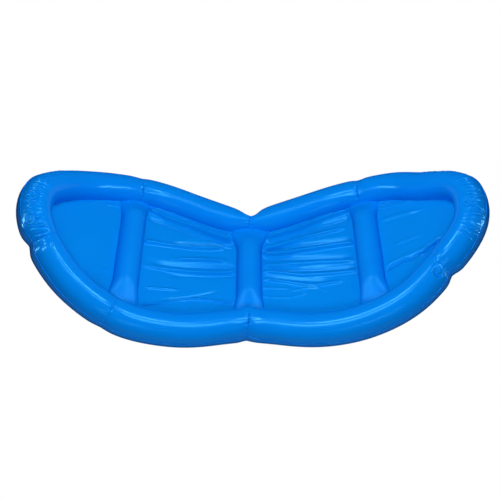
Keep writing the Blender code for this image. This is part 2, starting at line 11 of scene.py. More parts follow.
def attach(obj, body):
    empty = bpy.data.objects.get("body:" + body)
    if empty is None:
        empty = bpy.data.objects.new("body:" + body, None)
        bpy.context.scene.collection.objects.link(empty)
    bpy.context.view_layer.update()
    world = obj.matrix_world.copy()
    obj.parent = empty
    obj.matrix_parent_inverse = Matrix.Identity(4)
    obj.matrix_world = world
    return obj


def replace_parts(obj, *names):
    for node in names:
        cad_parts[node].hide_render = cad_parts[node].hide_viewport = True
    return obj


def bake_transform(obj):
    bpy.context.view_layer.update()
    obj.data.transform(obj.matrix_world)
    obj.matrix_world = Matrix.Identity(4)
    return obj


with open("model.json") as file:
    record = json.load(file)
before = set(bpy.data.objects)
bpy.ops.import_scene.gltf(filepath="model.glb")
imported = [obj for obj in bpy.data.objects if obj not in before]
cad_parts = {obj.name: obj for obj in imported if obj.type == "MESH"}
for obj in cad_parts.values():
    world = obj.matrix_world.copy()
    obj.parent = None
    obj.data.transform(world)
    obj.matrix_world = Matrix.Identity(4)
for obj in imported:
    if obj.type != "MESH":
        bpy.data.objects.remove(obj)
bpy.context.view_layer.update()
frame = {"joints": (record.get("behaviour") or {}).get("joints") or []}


# Camera
# The chair is seen from above its near side and from a long way off, so the lens is long. The
# tilt, distance and target were fitted to the photograph.
CAMERA_TARGET = Vector((-0.00951, 0.10734, 0.05744))
CAMERA_TILT = math.radians(47)
CAMERA_DISTANCE = 3.3802
CAMERA_LENS, SENSOR_WIDTH = 61.77, 36.0

camera = bpy.data.objects.new("camera", bpy.data.cameras.new("camera"))
camera.data.lens = CAMERA_LENS
camera.data.sensor_width = SENSOR_WIDTH
camera.location = CAMERA_TARGET + CAMERA_DISTANCE * Vector((0, -math.cos(CAMERA_TILT), math.sin(CAMERA_TILT)))
camera.rotation_euler = (math.pi / 2 - CAMERA_TILT, 0, 0)
bpy.context.scene.collection.objects.link(camera)
bpy.context.scene.camera = camera
bpy.context.scene.view_settings.view_transform = "Standard"


# Ring tubes
# Seven air chambers of one round tube, heat welded from calendered vinyl film. Each lobe's
# ring is closed off by welds into chambers, and the film gathers in puckers beside each weld.
fold = next(joint for joint in frame["joints"] if joint["name"] == "waist_fold")
TUBE_RADIUS = 0.062
WAIST_X, WAIST_Y = fold["pos_m"][0], fold["pos_m"][1]
CENTRE_Z = fold["pos_m"][2] - TUBE_RADIUS

LEFT_OUTLINE = (
    (0.000, 0.252), (0.100, 0.276), (0.220, 0.306), (0.340, 0.321), (0.450, 0.319),
    (0.565, 0.279), (0.655, 0.216), (0.712, 0.146), (0.746, 0.079), (0.758, 0.000),
)
RIGHT_OUTLINE = (
    (0.000, 0.252), (0.100, 0.276), (0.220, 0.304), (0.340, 0.318), (0.460, 0.311),
    (0.583, 0.268), (0.667, 0.200), (0.732, 0.141), (0.770, 0.083), (0.784, 0.000),
)
BULGE_REACH, BULGE_LENGTH = 0.340, 0.110
CURL, CURL_START = 0.554, 0.600
STRAIGHTEN = 0.060
WAIST_HEIGHT_PINCH, WAIST_PINCH_LENGTH = 0.12, 0.045
FAR_WAIST_PINCH, NEAR_WAIST_PINCH = 0.36, 0.12
SEAM_PINCH_LENGTH = 0.026
INNER_SHIFT, INNER_LENGTH = 0.100, 0.190
LINE_SAMPLES, TANGENT_STEP, SLOPE_STEP = 3000, 0.004, 0.002
ROUND = 2 * math.pi


def eased(value):
    value = np.clip(value, 0.0, 1.0)
    return value * value * (3.0 - 2.0 * value)


def hump(distance, width):
    return np.exp(-(np.asarray(distance) / width) ** 2)


def smooth_through(points, count):
    """Points on a natural cubic spline through the given ones."""
    given = np.array(points, float)
    size = len(given)
    along = np.concatenate([[0.0], np.cumsum(np.linalg.norm(np.diff(given, axis=0), axis=1))])
    step = np.diff(along)
    system = np.eye(size)
    right = np.zeros((size, 2))
    for knot in range(1, size - 1):
        before, after = step[knot - 1], step[knot]
        system[knot, knot - 1:knot + 2] = before, 2 * (before + after), after
        right[knot] = 6 * ((given[knot + 1] - given[knot]) / after - (given[knot] - given[knot - 1]) / before)
    bend = np.linalg.solve(system, right)
    at = np.linspace(0.0, along[-1], count)
    span = np.clip(np.searchsorted(along, at) - 1, 0, size - 2)
    gap = step[span][:, None]
    left_of = (along[span + 1] - at)[:, None]
    right_of = (at - along[span])[:, None]
    curved = (bend[span] * left_of ** 3 + bend[span + 1] * right_of ** 3) / (6 * gap)
    return (curved + (given[span] / gap - bend[span] * gap / 6) * left_of
            + (given[span + 1] / gap - bend[span + 1] * gap / 6) * right_of)


def unit(vectors):
    return vectors / np.linalg.norm(vectors, axis=1)[:, None]


def columns_at(along, line, values):
    """The values' columns read at distances along a line."""
    return np.column_stack([np.interp(along, line, column) for column in values.T])


class RingLine:
    """One lobe's ring: centre line and section, from the far side of the waist to the near side."""

    def __init__(self, side, outline, far_bulge, tip_curl, taken_in, seams):
        self.side = side
        self.tip_curl = tip_curl
        mirrored = [(x, -y) for x, y in outline[-2::-1]]
        plan = smooth_through(list(outline) + mirrored, LINE_SAMPLES)
        plan[:, 1] += np.where(plan[:, 1] > 0, far_bulge * hump(plan[:, 0] - BULGE_REACH, BULGE_LENGTH), 0.0)
        reach = plan[:, 0]
        middle = np.column_stack([side * reach, plan[:, 1], self.rise(reach)])
        self.at = np.concatenate([[0.0], np.cumsum(np.linalg.norm(np.diff(middle, axis=0), axis=1))])
        self.length = self.at[-1]
        half = LINE_SAMPLES // 2
        self.seams = []
        for x, row, depth in seams:
            if row == "far":
                found = np.interp(x, reach[:half], self.at[:half])
            else:
                found = np.interp(-x, -reach[half:], self.at[half:])
            self.seams.append((float(found), depth))
        tangent = unit(columns_at(np.minimum(self.at + TANGENT_STEP, self.length), self.at, middle)
                       - columns_at(np.maximum(self.at - TANGENT_STEP, 0.0), self.at, middle))
        to_waist = np.minimum(self.at, self.length - self.at)
        heading = np.zeros_like(middle)
        heading[:, 0] = np.where(self.at < self.length / 2, side, -side)
        forward = unit(heading + (tangent - heading) * eased(to_waist / STRAIGHTEN)[:, None])
        slope = (self.rise(reach + SLOPE_STEP) - self.rise(reach - SLOPE_STEP)) / (2 * SLOPE_STEP)
        self.square = unit(np.column_stack([-slope * side, np.zeros_like(slope), np.ones_like(slope)]))
        self.outward = unit(np.cross(self.square, forward)) * side
        self.forward = forward
        self.dip = TUBE_RADIUS * sum(
            depth * hump(self.at - seam, SEAM_PINCH_LENGTH) for seam, depth in self.seams)
        self.middle = middle + (WAIST_X, WAIST_Y, CENTRE_Z) - self.outward * self.dip[:, None]
        self.wide = self.pinched(FAR_WAIST_PINCH, NEAR_WAIST_PINCH)
        self.high = self.pinched(WAIST_HEIGHT_PINCH, WAIST_HEIGHT_PINCH)
        self.taken_in = taken_in * hump(self.at - self.length / 2 + INNER_SHIFT, INNER_LENGTH)

    def rise(self, reach):
        return CURL * reach ** 2 + self.tip_curl * np.maximum(reach - CURL_START, 0.0) ** 2

    def pinched(self, far, near):
        pinch = (far * hump(self.at, WAIST_PINCH_LENGTH)
                 + near * hump(self.length - self.at, WAIST_PINCH_LENGTH))
        return TUBE_RADIUS * (1.0 - pinch) - self.dip

    def skin(self, along, turn, lift):
        """Points on the tube at distances along it and turns round it, lifted off by a little."""
        wide = np.interp(along, self.at, self.wide) + lift
        wide -= np.interp(along, self.at, self.taken_in) * ((1.0 - np.cos(turn)) / 2) ** 2
        high = np.interp(along, self.at, self.high) + lift
        middle = columns_at(along, self.at, self.middle)
        outward = columns_at(along, self.at, self.outward)
        square = columns_at(along, self.at, self.square)
        return middle + outward * (wide * np.cos(turn))[:, None] + square * (high * np.sin(turn))[:, None]


# A seam has its X from the waist, its row, and the share of the tube's radius that it draws in
LEFT_SEAMS = ((0.444, "far", 0.03), (0.720, "near", 0.12), (0.490, "near", 0.03))
RIGHT_SEAMS = ((0.450, "far", 0.05), (0.668, "near", 0.10))
LEFT = RingLine(-1, LEFT_OUTLINE, far_bulge=0.012, tip_curl=1.70, taken_in=0.003, seams=LEFT_SEAMS)
RIGHT = RingLine(1, RIGHT_OUTLINE, far_bulge=0.005, tip_curl=0.57, taken_in=0.011, seams=RIGHT_SEAMS)


MERGE_GAP = 2e-6


def object_from(name, bm):
    """A smooth object of the bmesh's form."""
    mesh = bpy.data.meshes.new(name)
    bm.to_mesh(mesh)
    bm.free()
    mesh.shade_smooth()
    made = bpy.data.objects.new(name, mesh)
    bpy.context.scene.collection.objects.link(made)
    return made


def rolled_grid(name, rows, columns, place):
    """A grid laid out by place(share of rows, share of columns), with its meeting edges closed."""
    bm = bmesh.new()
    bm.loops.layers.uv.new("skin")
    bmesh.ops.create_grid(bm, x_segments=rows, y_segments=columns, size=0.5, calc_uvs=True)
    flat = np.array([vert.co for vert in bm.verts]) + 0.5
    for vert, spot in zip(bm.verts, place(flat[:, 0], flat[:, 1])):
        vert.co = spot
    bmesh.ops.remove_doubles(bm, verts=bm.verts, dist=MERGE_GAP)
    bmesh.ops.recalc_face_normals(bm, faces=bm.faces)
    return object_from(name, bm)


def vinyl(name, deep, light, roughness, grain):
    """Calendered vinyl: slightly uneven blue, a gloss that fades where it turns away, fine grain."""
    made = bpy.data.materials.new(name)
    made.use_nodes = True
    tree = made.node_tree
    shader = tree.nodes["Principled BSDF"]
    where = tree.nodes.new("ShaderNodeTexCoord")
    cloud = tree.nodes.new("ShaderNodeTexNoise")
    cloud.inputs["Scale"].default_value = 7.0
    cloud.inputs["Detail"].default_value = 4.0
    blue = tree.nodes.new("ShaderNodeMix")
    blue.data_type = "RGBA"
    blue.inputs[6].default_value = (*deep, 1.0)
    blue.inputs[7].default_value = (*light, 1.0)
    gloss = tree.nodes.new("ShaderNodeMapRange")
    gloss.inputs["To Min"].default_value = roughness - 0.04
    gloss.inputs["To Max"].default_value = roughness + 0.06
    peel = tree.nodes.new("ShaderNodeTexNoise")
    peel.inputs["Scale"].default_value = 160.0
    peel.inputs["Detail"].default_value = 3.0
    bump = tree.nodes.new("ShaderNodeBump")
    bump.inputs["Strength"].default_value = grain
    bump.inputs["Distance"].default_value = 0.0006
    links = (
        (where.outputs["Object"], cloud.inputs["Vector"]), (cloud.outputs["Fac"], blue.inputs[0]),
        (blue.outputs[2], shader.inputs["Base Color"]), (cloud.outputs["Fac"], gloss.inputs["Value"]),
        (gloss.outputs[0], shader.inputs["Roughness"]), (where.outputs["Object"], peel.inputs["Vector"]),
        (peel.outputs["Fac"], bump.inputs["Height"]), (bump.outputs["Normal"], shader.inputs["Normal"]),
    )
    for source, target in links:
        tree.links.new(source, target)
    turned_away = tree.nodes.new("ShaderNodeLayerWeight")
    turned_away.inputs["Blend"].default_value = 0.5
    sheen = tree.nodes.new("ShaderNodeMapRange")
    sheen.inputs["From Min"].default_value = 0.30
    sheen.inputs["From Max"].default_value = 0.62
    sheen.inputs["To Min"].default_value = 0.5
    sheen.inputs["To Max"].default_value = 0.0
    tree.links.new(turned_away.outputs["Facing"], sheen.inputs["Value"])
    tree.links.new(sheen.outputs[0], shader.inputs["Specular IOR Level"])
    shader.inputs["Specular Tint"].default_value = (0.16, 0.70, 1.0, 1.0)
    return made


TUBE_SEGMENTS = 144
TUBE_STEP = 0.0026
TIP_STEP = 0.0015
ROW_CROWDING = 0.55
WELD_GAP = 0.0003
CAP_ROWS = 2
TUBE_BLUES = (0.0, 0.195, 0.74), (0.0, 0.225, 0.80)
tube_vinyl = vinyl("tube_vinyl", *TUBE_BLUES, 0.18, 0.10)


def turn_at(share, count):
    """The turn at a share of the way round, on one of count even steps."""
    return np.rint(share * count) % count / count * ROUND


def cap_share(row, rows):
    """How far a row stands from the middle of an end cap, 1 where the tube's wall starts."""
    return np.clip(np.minimum(row, rows - row) / CAP_ROWS, 0.0, 1.0)


def in_degrees(turn):
    """A turn in degrees: 0 outwards, 90 up, 180 inwards and -90 down."""
    return (np.degrees(turn) + 90) % 360 - 90


# Tip wrinkles: grooves across the tube, each between two low ridges. Turns are in degrees.
WRINKLE_DEPTH, DEPTH_RANGE = 0.0046, (0.55, 1.15)
WRINKLE_SCATTER, WRINKLE_LEAN, LEAN_TURN = 0.004, 0.008, 40
WIDTH_RANGE, TURN_SCATTER, SPREAD_RANGE = (0.0024, 0.0034), 7, (16, 30)
RIDGE_HEIGHT, RIDGE_OFFSET, RIDGE_WIDTH = 0.5, 1.8, 1.3
WRINKLE_HALF = 0.03
draws = np.random.default_rng(11)


def tip_wrinkles(line, first, last, count, middle_turn):
    """Short folds across the tube where it bends round the lobe's end."""
    spots = np.linspace(first, last, count) + draws.uniform(-WRINKLE_SCATTER, WRINKLE_SCATTER, count)
    return [(line.length / 2 + spot, WRINKLE_DEPTH * draws.uniform(*DEPTH_RANGE), draws.uniform(*WIDTH_RANGE),
             draws.uniform(-WRINKLE_LEAN, WRINKLE_LEAN),
             middle_turn + draws.uniform(-TURN_SCATTER, TURN_SCATTER), draws.uniform(*SPREAD_RANGE))
            for spot in spots]


def wrinkled(wrinkles, along, turn):
    """Lift of the skin where short folds cross it."""
    degrees = in_degrees(turn)
    lift = np.zeros_like(along)
    for spot, depth, width, lean, middle, spread in wrinkles:
        near = np.abs(along - spot) < WRINKLE_HALF
        across = degrees[near] - middle
        bent = along[near] - spot - lean * across / LEAN_TURN
        ridges = (hump(bent - RIDGE_OFFSET * width, RIDGE_WIDTH * width)
                  + hump(bent + RIDGE_OFFSET * width, RIDGE_WIDTH * width))
        lift[near] += depth * hump(across, spread) * (RIDGE_HEIGHT * ridges - hump(bent, width))
    return lift


GATHER_WAVES, GATHER_SCALE = (13, 17, 21, 26, 31), 2.6
GATHER_LENGTH = 0.014


def gathers(distance, turn, seed, depth, length=GATHER_LENGTH):
    """Fine puckers that run away from a weld and die out along the tube."""
    waves = np.random.default_rng(seed)
    lift = np.zeros_like(turn)
    for count in GATHER_WAVES:
        lift += waves.uniform(0.5, 1.0) * np.sin(count * turn + waves.uniform(0, ROUND))
    return depth * lift / GATHER_SCALE * np.exp(-np.abs(distance) / length)


# Welds: shallow all round, and drawn in deeper at one place: depth, turn in degrees, spread,
# and how strongly the film is gathered there
FAINT_CREASE = 0.0004
CREASE_WIDTH = 0.0040
EVEN_GATHER = 0.25
LEFT_WELDS = ((0.0034, 110, 50, 0.0034), (0.0060, 120, 30, 0.0026), (0.0024, -5, 50, 0.0008),
              (0.0030, 68, 30, 0.0014), (0.0056, 60, 34, 0.0016))
RIGHT_WELDS = ((0.0034, 110, 50, 0.0034), (0.0062, 122, 30, 0.0026), (0.0024, -5, 50, 0.0008),
               (0.0056, 60, 34, 0.0016))
# At the near side of the waist the film swells over the centre cross tube and fills out low
# down, at the far side it dips into a notch, and at both sides the lobes meet on a slant
SWELL, SWELL_REACH, SWELL_TURN, SWELL_SPREAD = 0.0095, 0.024, 138, 34
SLANT, SLANT_TURN, SLANT_REACH = 0.009, math.radians(43), 0.060
NEAR_SLANT = 0.013
NOTCH, NOTCH_TIP, NOTCH_REACH, NOTCH_TURN, NOTCH_SPREAD = 0.0145, 0.030, 0.095, 45, 55
NOTCH_TIP_SHARE = 0.25
FILL, FILL_REACH, FILL_TURN, FILL_SPREAD = 0.010, 0.060, -45, 50


def weld_lift(distance, turn, seed, weld):
    """Lift of the skin beside a weld."""
    depth, middle, spread, gathered = weld
    local = hump(in_degrees(turn) - middle, spread)
    crease = (FAINT_CREASE + depth * local) * np.exp(-np.abs(distance) / CREASE_WIDTH)
    return gathers(distance, turn, seed, gathered * (EVEN_GATHER + local)) - crease


def weld_places(line):
    """Distances along the line of the waist's far side, each seam and the waist's near side."""
    return [0.0] + [seam for seam, _ in line.seams] + [line.length]


def welds_lift(line, places, welds, along, turn):
    """Lift of the skin beside several welds, each with a seed from its place in millimetres."""
    return sum(weld_lift(along - at, turn, 2 + round(1000 * at) + line.side, weld)
               for at, weld in zip(places, welds))


def waist_swelling(line, along, turn):
    """The swellings at the near side of the waist, and the notch at the far side."""
    degrees = in_degrees(turn)
    to_near = line.length - along
    below = (degrees - FILL_TURN + 180) % 360 - 180
    notch = NOTCH_TIP_SHARE * np.exp(-along / NOTCH_TIP) + (1 - NOTCH_TIP_SHARE) * hump(along, NOTCH_REACH)
    return (SWELL * hump(to_near, SWELL_REACH) * hump(degrees - SWELL_TURN, SWELL_SPREAD)
            + FILL * hump(to_near, FILL_REACH) * hump(below, FILL_SPREAD)
            - NOTCH * notch * hump(degrees - NOTCH_TURN, NOTCH_SPREAD))


def waist_slant(line, along, turn):
    """How far the skin is shifted along X at the two sides of the waist."""
    return (SLANT * np.cos(turn - SLANT_TURN) * hump(along, SLANT_REACH)
            - NEAR_SLANT * (1.0 - np.sin(turn)) / 2 * hump(line.length - along, SLANT_REACH))


def chamber(name, line, ends, welds, wrinkles, valve_places):
    """One air chamber between two welds, creased and gathered at both."""
    start, end = ends
    rows = round((end - start) / (TIP_STEP if wrinkles else TUBE_STEP)) + 2 * CAP_ROWS

    def place(row_share, turn_share):
        row = np.rint(row_share * rows)
        share = np.clip((row - CAP_ROWS) / (rows - 2 * CAP_ROWS), 0.0, 1.0)
        share -= ROW_CROWDING * np.sin(ROUND * share) / ROUND
        along = start + WELD_GAP / 2 + (end - start - WELD_GAP) * share
        turn = turn_at(turn_share, TUBE_SEGMENTS)
        lift = (wrinkled(wrinkles, along, turn) + waist_swelling(line, along, turn)
                + welds_lift(line, ends, welds, along, turn))
        spots = line.skin(along, turn, lift)
        spots[:, 0] += waist_slant(line, along, turn)
        wall = cap_share(row, rows)[:, None]
        spots = columns_at(along, line.at, line.middle) * (1 - wall) + spots * wall
        for valve in valve_places:
            spots = valve.press(spots)
        spots[:, 2] = np.maximum(spots[:, 2], 0.0)
        return spots

    made = rolled_grid(name, rows, TUBE_SEGMENTS, place)
    made.data.materials.append(tube_vinyl)
    return made


# The skin is pressed flat under each valve's flange, which is welded on there, and has a
# pocket under the neck. A valve has its lobe, distance from the tip, roll, and extra depth.
VALVE_SPOTS = {
    "left_tip_valve": (LEFT, 0.018, 8.0, 0.0004), "left_side_valve": (LEFT, 0.092, -13.0, 0.0004),
    "right_tip_valve": (RIGHT, 0.039, 23.0, 0.0004), "right_side_valve": (RIGHT, 0.295, -27.0, 0.0020),
}
FLANGE_RADIUS, SEAT_MARGIN = 0.0165, 0.0006
SEAT_RADIUS = FLANGE_RADIUS + SEAT_MARGIN
SEAT_BLEND, SEAT_SIDE = 0.006, 0.02
POCKET_RADIUS, POCKET_SLOPE, POCKET_DEPTH = 0.0084, 0.0022, 0.0240


class ValvePlace:
    """Where a valve sits on its tube: X along the tube and Z out of it."""

    def __init__(self, name):
        line, from_tip, roll, sunk = VALVE_SPOTS[name]
        along = np.array([line.length / 2 + from_tip])
        forward = columns_at(along, line.at, line.forward)[0]
        outward = np.cross((0.0, 0.0, 1.0), forward) * line.side
        outward /= np.linalg.norm(outward)
        upward = np.cross(outward, forward) * line.side
        upward *= np.sign(upward[2])
        roll = math.radians(roll)
        normal = upward * math.cos(roll) - outward * math.sin(roll)
        radius = float(np.interp(along[0], line.at, line.wide))
        self.middle = columns_at(along, line.at, line.middle)[0] + normal * radius
        self.axes = np.array([forward, np.cross(normal, forward), normal])
        self.seat = -(radius - math.sqrt(radius ** 2 - SEAT_RADIUS ** 2) + sunk)

    def set_on(self, local):
        return self.middle + np.asarray(local, float) @ self.axes

    def press(self, spots):
        """The tube's skin with this valve's flat seat and pocket in it."""
        local = (spots - self.middle) @ self.axes.T
        distance = np.hypot(local[:, 0], local[:, 1])
        same_side = local[:, 2] > -SEAT_SIDE
        flat = eased((SEAT_RADIUS + SEAT_BLEND - distance) / SEAT_BLEND) * same_side
        pocket = np.clip((POCKET_RADIUS + POCKET_SLOPE - distance) / POCKET_SLOPE, 0.0, 1.0) * same_side
        local[:, 2] -= np.maximum(local[:, 2] - self.seat, 0.0) * flat
        local[:, 2] -= POCKET_DEPTH * pocket
        return self.set_on(local)


def bend_at_waist(piece):
    """The piece's placement baked into its mesh, with the piece attached to neither lobe."""
    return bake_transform(piece)


VALVE_PLACES = {name: ValvePlace(name) for name in VALVE_SPOTS}
VALVES_ON = {"left_end_tube": ("left_tip_valve", "left_side_valve"), "right_end_tube": ("right_tip_valve",),
             "near_right_tube": ("right_side_valve",)}
WRINKLES_ON = {"left_end_tube": tip_wrinkles(LEFT, -0.19, 0.20, 27, 46),
               "right_end_tube": tip_wrinkles(RIGHT, -0.27, 0.14, 29, 40)}
LEFT_CHAMBERS = ("far_left_tube", "left_end_tube", "left_corner_tube", "near_left_tube")
RIGHT_CHAMBERS = ("far_right_tube", "right_end_tube", "near_right_tube")
for line, names, line_welds in ((LEFT, LEFT_CHAMBERS, LEFT_WELDS), (RIGHT, RIGHT_CHAMBERS, RIGHT_WELDS)):
    places = weld_places(line)
    for name, ends, welds in zip(names, zip(places, places[1:]), zip(line_welds, line_welds[1:])):
        piece = chamber(f"{name}_skin", line, ends, welds, WRINKLES_ON.get(name, ()),
                        [VALVE_PLACES[valve] for valve in VALVES_ON.get(name, ())])
        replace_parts(piece, name)
        if line is LEFT:
            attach(piece, "left_lobe")
        elif name == "right_end_tube":
            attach(piece, "right_lobe")
        else:
            bend_at_waist(piece)


# Cross tubes
# Three short inflated tubes that bridge the ring. Their ends are pressed flat and wide where
# they are welded to the ring's inner side.
# The centre tube's far end is spread wider, from further in. Each end follows the ring's
# round side over the last share of its half length.
CROSS_RADIUS = 0.049
CROSS_OFFSET = 0.450
CROSS_FLARE = 1.20
CROSS_END_HEIGHT = 0.32
CROSS_TAPER = 0.380
CENTRE_FAR_FLARE, CENTRE_FAR_TAPER = 1.46, 0.56
HUG_SHARE = 0.25
CROSS_PUCKER, CROSS_PUCKER_LENGTH = 0.0013, 0.020
cross_vinyl = vinyl("cross_vinyl", *TUBE_BLUES, 0.36, 0.10)
WELD_LAP = 0.0008
TIP_GAP = 0.0020


class InnerEdge:
    """One side of the open space inside a lobe's ring."""

    def __init__(self, line, side):
        inner = line.middle - line.outward * (line.wide - line.taken_in)[:, None] - (WAIST_X, WAIST_Y, 0.0)
        kept = inner[side * inner[:, 1] > 0]
        order = np.argsort(np.abs(kept[:, 0]))
        self.reach = np.abs(kept[order, 0])
        self.width = side * kept[order, 1]

    def at(self, reach):
        ending = eased((reach - CROSS_OFFSET) / (CURL_START - CROSS_OFFSET))
        return WELD_LAP + np.minimum(np.interp(reach, self.reach, self.width),
                                     np.interp(reach + TIP_GAP * ending, self.reach, self.width))


EDGES = {line.side: (InnerEdge(line, 1), InnerEdge(line, -1)) for line in (LEFT, RIGHT)}


def inner_y(x, across):
    """Y inside the ring, from -1 at its near edge to 1 at its far edge, for X from the waist."""
    found = np.zeros_like(x)
    for side, (far_edge, near_edge) in EDGES.items():
        here = (x < 0) if side < 0 else (x >= 0)
        far, near = far_edge.at(np.abs(x[here])), near_edge.at(np.abs(x[here]))
        found[here] = (far - near) / 2 + across[here] * (far + near) / 2
    return found


def floor_height(x):
    x = np.asarray(x, float)
    return CENTRE_Z + np.where(x < 0, LEFT.rise(np.abs(x)), RIGHT.rise(np.abs(x)))


def floor_slope(x):
    return math.atan2(floor_height(x + SLOPE_STEP) - floor_height(x - SLOPE_STEP), 2 * SLOPE_STEP)


def cross_section(x, across):
    """Half width and half height of the cross tube at X from the waist."""
    far_centre = (x == 0.0) & (across > 0)
    flare = np.where(far_centre, CENTRE_FAR_FLARE, CROSS_FLARE)
    flat = eased((np.abs(across) - 1.0 + CROSS_TAPER) / CROSS_TAPER)
    widened = eased((np.abs(across) - 1.0 + CENTRE_FAR_TAPER) / CENTRE_FAR_TAPER)
    pressed = np.where(far_centre, widened, flat)
    return (CROSS_RADIUS * (1.0 + (flare - 1.0) * pressed),
            CROSS_RADIUS * (1.0 + (CROSS_END_HEIGHT - 1.0) * pressed))


CROSS_SEGMENTS = 144
CROSS_ROWS = 150


def cross_tube(name, x, seed):
    """An inflated tube from side to side of the ring, pressed flat at both ends."""
    slope = floor_slope(x)
    rows = CROSS_ROWS + 2 * CAP_ROWS

    def place(row_share, turn_share):
        row = np.rint(row_share * rows)
        across = -np.cos(math.pi * np.clip((row - CAP_ROWS) / CROSS_ROWS, 0.0, 1.0))
        turn = turn_at(turn_share, CROSS_SEGMENTS)
        half_width, half_height = cross_section(x, across)
        to_end = (1.0 - np.abs(across)) * inner_y(np.array([x]), np.array([1.0]))[0]
        puckers = gathers(to_end, turn, seed, CROSS_PUCKER, CROSS_PUCKER_LENGTH)
        sideways = half_width * np.cos(turn)
        upward = (half_height + puckers) * np.sin(turn) * cap_share(row, rows)
        at_x = x + sideways * math.cos(slope) - upward * math.sin(slope)
        at_z = floor_height(x) + sideways * math.sin(slope) + upward * math.cos(slope)
        hug = TUBE_RADIUS - np.sqrt(TUBE_RADIUS ** 2 - upward ** 2)
        at_y = inner_y(x + sideways * math.cos(slope), across)
        at_y += np.sign(across) * hug * eased((np.abs(across) - 1.0 + HUG_SHARE) / HUG_SHARE)
        return np.column_stack([at_x + WAIST_X, at_y + WAIST_Y, at_z])

    made = rolled_grid(f"{name}_skin", rows, CROSS_SEGMENTS, place)
    made.data.materials.append(cross_vinyl)
    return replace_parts(made, name)


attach(cross_tube("left_cross_tube", -CROSS_OFFSET, 40), "left_lobe")
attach(cross_tube("centre_cross_tube", 0.0, 45), "left_lobe")
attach(cross_tube("right_cross_tube", CROSS_OFFSET, 50), "right_lobe")


# Floor sheets
# Four single films that floor the bays, welded to the ring and to the cross tubes. The pull
# of the ring draws them into folds that fan out from the pinched waist.
SHEET_FILM = 0.0005
SIDE_ROUNDS = 4
sheet_vinyl = vinyl("sheet_vinyl", (0.0, 0.205, 0.71), (0.0, 0.235, 0.77), 0.20, 0.08)


def cross_side(x, slope, across, side):
    """X where the sheet meets one side of the cross tube at X, found in a few rounds."""
    half_width, _ = cross_section(x, across)
    wanted = half_width - WELD_LAP
    found = x + side * wanted * math.cos(slope)
    for _ in range(SIDE_ROUNDS):
        rise = floor_height(found) - floor_height(x)
        reached = side * ((found - x) * math.cos(slope) + rise * math.sin(slope))
        found = found + side * (wanted - reached) * math.cos(slope)
    return found


def give_thickness(made, thickness):
    film = made.modifiers.new("film", "SOLIDIFY")
    film.thickness = thickness
    film.offset = 0.0


def floor_sheet(name, near_waist, far_from_waist, rows, columns, closing, lift):
    """A film between two edges, each given as X for a place across the bay.

    Its rows crowd towards the lobe's tip if it is closing.
    """

    def place(row_share, column_share):
        share = np.sin(math.pi / 2 * row_share) if closing else row_share
        across = -np.cos(math.pi * column_share)
        start = near_waist(across)
        x = start + (far_from_waist(across) - start) * share
        y = inner_y(x, across)
        z = floor_height(x) + lift(x, y, row_share, across)
        return np.column_stack([x + WAIST_X, y + WAIST_Y, z])

    made = rolled_grid(f"{name}_film", rows, columns, place)
    give_thickness(made, SHEET_FILM)
    made.data.materials.append(sheet_vinyl)
    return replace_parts(made, name)


# Folds in the sheets, each a line of (X from the waist, Y from the middle) with its height,
# its half width, and how fast it dies out at its two ends
LEFT_FOLDS = (
    (((-0.40, 0.276), (-0.357, 0.272), (-0.238, 0.247), (-0.157, 0.221), (-0.070, 0.190)),
     0.0040, 0.0080, 0.05),
    (((-0.40, 0.243), (-0.363, 0.238), (-0.331, 0.224), (-0.236, 0.207), (-0.164, 0.186), (-0.07, 0.155)),
     0.0085, 0.0120, 0.03),
    (((-0.40, 0.200), (-0.340, 0.195), (-0.254, 0.182), (-0.175, 0.165), (-0.070, 0.136)),
     -0.0050, 0.0100, 0.06),
    (((-0.41, 0.068), (-0.344, 0.081), (-0.269, 0.092), (-0.200, 0.097), (-0.110, 0.112)),
     0.0062, 0.0110, 0.05),
    (((-0.33, 0.090), (-0.250, 0.110), (-0.150, 0.122), (-0.060, 0.118)), -0.0040, 0.0110, 0.06),
    (((-0.28, 0.020), (-0.216, 0.033), (-0.171, 0.040), (-0.100, 0.046)), 0.0055, 0.0090, 0.05),
    (((-0.36, -0.020), (-0.188, 0.005), (-0.060, 0.020)), -0.0042, 0.0100, 0.07),
    (((-0.38, -0.048), (-0.317, -0.042), (-0.243, -0.032), (-0.150, -0.021), (-0.060, -0.009)),
     0.0042, 0.0070, 0.05),
    (((-0.30, -0.060), (-0.200, -0.045), (-0.060, -0.026)), -0.0030, 0.0080, 0.05),
    (((-0.37, -0.148), (-0.320, -0.138), (-0.270, -0.128)), 0.0026, 0.0045, 0.03),
    (((-0.40, -0.245), (-0.307, -0.200), (-0.254, -0.172), (-0.200, -0.158), (-0.138, -0.156),
      (-0.060, -0.160)), 0.0030, 0.0050, 0.05),
    (((-0.31, -0.186), (-0.237, -0.159), (-0.183, -0.136), (-0.130, -0.112)), -0.0018, 0.0040, 0.04),
)
